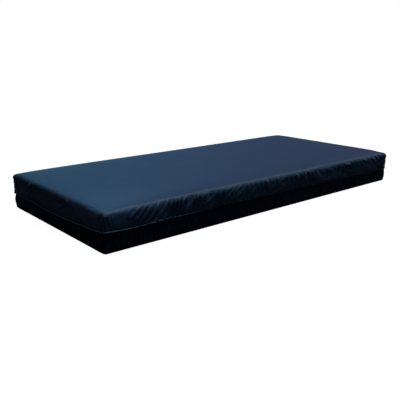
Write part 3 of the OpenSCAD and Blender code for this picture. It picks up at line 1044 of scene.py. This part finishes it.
def sweptBlock(name, body, material, standsFor, profile, places, alongX, outline=None):
    # a profile carried along X or Y, drawn in at both ends, and cut to the core's round corners
    centre = np.mean(profile, axis=0)
    points = []
    for place, drawn in places:
        for across, up in profile:
            a = across - math.copysign(min(drawn, abs(across - centre[0])), across - centre[0])
            u = up - math.copysign(min(drawn, abs(up - centre[1])), up - centre[1])
            x, y = (place, a) if alongX else (a, place)
            if outline is not None:
                x, y = outline(x, y)
            points.append((x, y, u))
    count = len(profile)
    faces = gridOfRings(len(places), count)
    faces += [tuple(range(count))[::-1], tuple(range((len(places) - 1) * count, len(places) * count))]
    if alongX:
        faces = [face[::-1] for face in faces]
    settled = settle(np.array(points), foamShape)
    piece = newPiece(name, settled, faces, body, material, standsFor)
    smooth = [len(polygon.vertices) < 5 for polygon in piece.data.polygons]
    piece.data.polygons.foreach_set("use_smooth", smooth)


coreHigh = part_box("base_foam")[1]


def insideCore(x, y):
    # pulls a point inside the round upright corners of the core
    r = foamShape["outerCorner"]
    dx, dy = abs(x) - (coreHigh.x - r), abs(y) - (coreHigh.y - r)
    if dx > 0 and dy > 0:
        far = max(math.hypot(dx, dy), 1e-9)
        if far > r:
            x = math.copysign(coreHigh.x - r + dx * r / far, x)
            y = math.copysign(coreHigh.y - r + dy * r / far, y)
    return x, y


def makeBaseFoam(shape):
    low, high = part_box("base_foam")
    bottom = low.z + 0.0006
    edgeRadius = 0.012
    line = arcPoints(low.x + edgeRadius, bottom + edgeRadius, edgeRadius, 180, 270, 5)
    cuts = sorted(halfLength - fromHead + (k - (shape["cuts"] - 1) / 2) * shape["cutPitch"]
                  for fromHead in shape["cutsFromHead"] for k in range(shape["cuts"]))
    half, lip = shape["cutWidth"] / 2, 0.0015
    for x in cuts:
        deep = low.z + shape["cutDepth"]
        edge = [(x - half - lip, bottom), (x - half, bottom + lip), (x - half, deep), (x + half, deep),
                (x + half, bottom + lip), (x + half + lip, bottom)]
        line += spread(line[-1], edge[0], 0.03) + edge
    end = arcPoints(high.x - edgeRadius, bottom + edgeRadius, edgeRadius, 270, 360, 5)
    line += spread(line[-1], end[0], 0.03) + end
    bevel = 0.002
    line += [(high.x, high.z - bevel), (high.x - bevel, high.z)]
    line += spread(line[-1], (low.x + bevel, high.z), 0.03)
    line += [(low.x + bevel, high.z), (low.x, high.z - bevel)]
    sweptBlock("baseFoam", "foam_tub", tubFoam, "base_foam", line,
               stations(low.y, high.y, 0.006, 0.03), False, insideCore)


def makeRail(nodeName, name, alongX):
    low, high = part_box(nodeName)
    soft, outer = foamShape["soft"], foamShape["outerTop"]
    first, last, places = low.y, high.y, stations(low.x, high.x, 0.012)
    if not alongX:
        first, last, places = low.x, high.x, stations(low.y + 0.0003, high.y - 0.0003, 0.002)
    radii = (soft, soft, outer, soft) if first > 0 else (soft, soft, soft, outer)
    profile = roundedProfile((first, low.z), (last, high.z), radii)
    sweptBlock(name, "foam_tub", railFoam, nodeName, profile, places, alongX, insideCore)


def makeBacking():
    low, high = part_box("insert_backing")
    profile = roundedProfile((low.y, low.z), (high.y, high.z), (0.002,) * 4, 0.03)
    sweptBlock("insertBacking", "comfort_insert", railFoam, "insert_backing", profile,
               stations(low.x, high.x, 0.002, 0.03), True)


def cellLines(low, high, count, shape, height):
    # places and height shares of the grid lines across a row of cells: 0 in a cut and 1 on top of a cell
    found, cut, r = [], shape["cut"] / 2, shape["rounding"]
    size = (high - low) / count
    for k in range(count):
        a = low + k * size + (cut if k > 0 else 0.0)
        b = low + (k + 1) * size - (cut if k < count - 1 else 0.0)
        arc = [(r * (1 - math.cos(math.radians(angle))), 1 - r * (1 - math.sin(math.radians(angle))) / height)
               for angle in (0, 30, 60, 90)]
        if k > 0:
            found.append((a - 0.0001, 0.0))
        found += [(a + drawn, share) for drawn, share in arc]
        found += [(a + r + (b - a - 2 * r) * part, 1.0) for part in (0.25, 0.5, 0.75)]
        found += [(b - drawn, share) for drawn, share in arc[::-1]]
        if k < count - 1:
            found.append((b + 0.0001, 0.0))
    return found


def makeZone(nodeName, name, material):
    low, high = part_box(nodeName)
    depth = cellShape["depth"]
    xs = cellLines(low.x, high.x, cellShape["rows"][nodeName], cellShape, depth)
    ys = cellLines(low.y, high.y, cellShape["across"], cellShape, depth)
    points = []
    for y, hy in ys:
        for x, hx in xs:
            share = min(hx, hy)
            swell = cellShape["swell"] * share * noise.noise(Vector((x * 9, y * 9, 5)))
            points.append((x, y, high.z - depth + depth * share + swell))
    faces = gridFaces(len(xs), len(ys))
    # the uncut foam below the cells
    border = gridBorder(len(xs), len(ys))
    start = len(points)
    for drop in (low.z + 0.002, low.z):
        points += [(points[k][0], points[k][1], drop) for k in border]
    count = len(border)
    for ring in range(2):
        for i in range(count):
            j = (i + 1) % count
            a, b = (border[i], border[j]) if ring == 0 else (start + i, start + j)
            faces.append((a, start + ring * count + i, start + ring * count + j, b))
    faces.append(tuple(start + count + i for i in range(count))[::-1])
    settled = settle(np.array(points), foamShape)
    piece = newPiece(name, settled, faces, "comfort_insert", material, nodeName)
    mesh = bmesh.new()
    mesh.from_mesh(piece.data)
    bmesh.ops.remove_doubles(mesh, verts=mesh.verts, dist=0.00002)
    bmesh.ops.recalc_face_normals(mesh, faces=mesh.faces)
    mesh.to_mesh(piece.data)
    mesh.free()
    piece.data.shade_smooth()
    piece.data.set_sharp_from_angle(angle=math.radians(50))


makeBaseFoam(foamShape)
makeRail("left_side_rail", "leftSideRail", True)
makeRail("right_side_rail", "rightSideRail", True)
makeRail("head_end_rail", "headEndRail", False)
makeRail("foot_end_rail", "footEndRail", False)
makeBacking()
makeZone("head_zone_foam", "headZoneFoam", headFoam)
makeZone("torso_zone_foam", "torsoZoneFoam", torsoFoam)
makeZone("heel_zone_foam", "heelZoneFoam", heelFoam)
print("foam ready")


# Each end stop is a crimped metal clip; the slider and the tab keep their CAD shape

stopShape = {"edge": 0.0009, "crimps": 3, "crimpDepth": 0.00045, "steps": 40, "arcSteps": 4}


def makeStop(nodeName, name, body, shape):
    low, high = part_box(nodeName)
    middle, reach = (low + high) / 2, (high - low) / 2
    r = min(shape["edge"], reach.y * 0.9, reach.z * 0.9)
    outline = []
    for k, (a, b) in enumerate(((-1, -1), (1, -1), (1, 1), (-1, 1))):
        start = 180 + 90 * k
        outline += arcPoints(a * (reach.y - r), b * (reach.z - r), r, start, start + 90, shape["arcSteps"])
    points = []
    for k in range(shape["steps"] + 1):
        share = 2 * k / shape["steps"] - 1
        pastEdge = max(abs(share) * reach.x - reach.x + r, 0) / r
        ends = r * (1 - math.sqrt(max(1 - pastEdge ** 2, 0)))
        crimp = shape["crimpDepth"] * math.cos(math.pi * share * shape["crimps"]) ** 8
        for across, up in outline:
            points.append((middle.x + share * reach.x, middle.y + across * (1 - (ends + crimp) / reach.y),
                           middle.z + up * (1 - ends / reach.z)))
    count = len(outline)
    faces = [f[::-1] for f in gridOfRings(shape["steps"] + 1, count)]
    faces.append(tuple(range(count)))
    faces.append(tuple(range(shape["steps"] * count, (shape["steps"] + 1) * count))[::-1])
    stop = newPiece(name, points, faces, body, stopMetal, nodeName)
    stop.data.set_sharp_from_angle(angle=math.radians(60))


makeStop("upper_zip_stop", "upperZipStop", "top_cover", stopShape)
makeStop("lower_zip_stop", "lowerZipStop", "base_cover", stopShape)
for nodeName in ("zip_slider", "pull_tab"):
    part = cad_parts[nodeName]
    part.data.materials.clear()
    part.data.materials.append(sliderMetal)
print("metal parts ready")


# Floor, light and camera

stageLook = {
    "floor": (0.10, 0.10, 0.10), "glow": 0.985, "bounce": (0.08, 0.08, 0.08),
    "facing": (0.643, 0.766, 0.0), "across": (0.766, -0.643, 0.0),
    "nearLeft": (0.022, 0.024, 0.026), "nearRight": (0.004, 0.008, 0.016),
    "farLeft": (0.30, 0.74, 1.20), "farRight": (0.16, 0.0, 0.13),
}


def newOutput(tree, kind):
    tree.nodes.clear()
    return addNode(tree, kind).inputs["Surface"]


def mixByPath(tree, unseen, seen, output):
    # unseen is what lights the mattress, seen is what the camera sees directly
    path = addNode(tree, "ShaderNodeLightPath")
    mix = addNode(tree, "ShaderNodeMixShader")
    for socket, value in zip(mix.inputs, (path.outputs["Is Camera Ray"], unseen, seen)):
        feed(tree, socket, value)
    feed(tree, output, mix.outputs[0])


def makeFloor(look):
    size, height = 30.0, -0.0005
    corners = [(-size, -size, height), (size, -size, height), (size, size, height), (-size, size, height)]
    floor = meshObject("floor", corners, [(0, 1, 2, 3)])
    material = bpy.data.materials.new("paleFloor")
    material.use_nodes = True
    tree = material.node_tree
    out = newOutput(tree, "ShaderNodeOutputMaterial")
    seen = fed(tree, "ShaderNodeBsdfDiffuse", {"Color": look["floor"]}).outputs[0]
    bounced = fed(tree, "ShaderNodeBsdfDiffuse", {"Color": look["bounce"]}).outputs[0]
    glow = fed(tree, "ShaderNodeEmission", {"Strength": look["glow"]}).outputs[0]
    both = addNode(tree, "ShaderNodeAddShader")
    feed(tree, both.inputs[0], seen)
    feed(tree, both.inputs[1], glow)
    mixByPath(tree, bounced, both.outputs[0], out)
    layOut(tree)
    floor.data.materials.append(material)


def alongDirection(tree, direction, axis, low, high):
    # 0 to 1 as a direction of the sky turns towards axis
    dot = addNode(tree, "ShaderNodeVectorMath", operation="DOT_PRODUCT")
    feed(tree, dot.inputs[0], direction)
    feed(tree, dot.inputs[1], axis)
    inputs = {"Value": dot.outputs["Value"], "From Min": low, "From Max": high}
    return fed(tree, "ShaderNodeMapRange", inputs, interpolation_type="SMOOTHSTEP").outputs[0]


def makeSky(look):
    # seen plain white, while the mattress is lit by a dim room with a lit wall behind it
    world = bpy.data.worlds.new("studio")
    bpy.context.scene.world = world
    world.use_nodes = True
    tree = world.node_tree
    out = newOutput(tree, "ShaderNodeOutputWorld")
    seen = fed(tree, "ShaderNodeBackground", {"Color": (1.0, 1.0, 1.0)}).outputs[0]
    direction = addNode(tree, "ShaderNodeTexCoord").outputs["Generated"]
    sideways = alongDirection(tree, direction, look["across"], -0.32, 0.32)
    far = alongDirection(tree, direction, look["facing"], 0.45, 0.95)
    near = mixColours(tree, sideways, look["nearLeft"], look["nearRight"])
    lit = mixColours(tree, sideways, look["farLeft"], look["farRight"])
    dome = fed(tree, "ShaderNodeBackground", {"Color": mixColours(tree, far, near, lit)}).outputs[0]
    mixByPath(tree, dome, seen, out)
    layOut(tree)


lights = {
    "skylight": {"kind": "SUN", "energy": 2.35, "angle": 14.0, "tilt": (2.0, 32.0),
                 "colour": (0.70, 0.92, 1.08)},
    "sideFill": {"kind": "SUN", "energy": 0.18, "angle": 10.0, "tilt": (14.0, 62.0),
                 "colour": (0.70, 0.90, 1.0)},
    "cornerLamp": {"kind": "AREA", "energy": 0.48, "size": (0.25, 0.25), "place": (-0.99, -0.44, 0.50),
                   "tilt": (0, 0), "colour": (0.86, 0.94, 1.0)},
}


def makeLights(look):
    for name, values in look.items():
        data = bpy.data.lights.new(name, values["kind"])
        data.energy = values["energy"]
        data.color = values["colour"]
        lamp = bpy.data.objects.new(name, data)
        if values["kind"] == "SUN":
            data.angle = math.radians(values["angle"])
        else:
            data.shape = "RECTANGLE"
            data.size, data.size_y = values["size"]
            lamp.location = values["place"]
            lamp.visible_camera = lamp.visible_glossy = False
        lamp.rotation_euler = (math.radians(values["tilt"][0]), math.radians(values["tilt"][1]), 0)
        bpy.context.scene.collection.objects.link(lamp)


cameraPlace = {"location": (-2.056, -2.298, 0.819), "turn": -40.02, "tilt": -15.69, "lens": 49.45}


def makeCamera(place):
    data = bpy.data.cameras.new("camera")
    data.sensor_width = 36.0
    data.lens = place["lens"]
    data.clip_end = 200.0
    camera = bpy.data.objects.new("camera", data)
    camera.location = place["location"]
    camera.rotation_euler = (math.radians(90 + place["tilt"]), 0, math.radians(place["turn"]))
    bpy.context.scene.collection.objects.link(camera)
    bpy.context.scene.camera = camera


makeFloor(stageLook)
makeSky(stageLook)
makeLights(lights)
makeCamera(cameraPlace)
bpy.context.scene.view_settings.view_transform = "Standard"
print("stage ready")
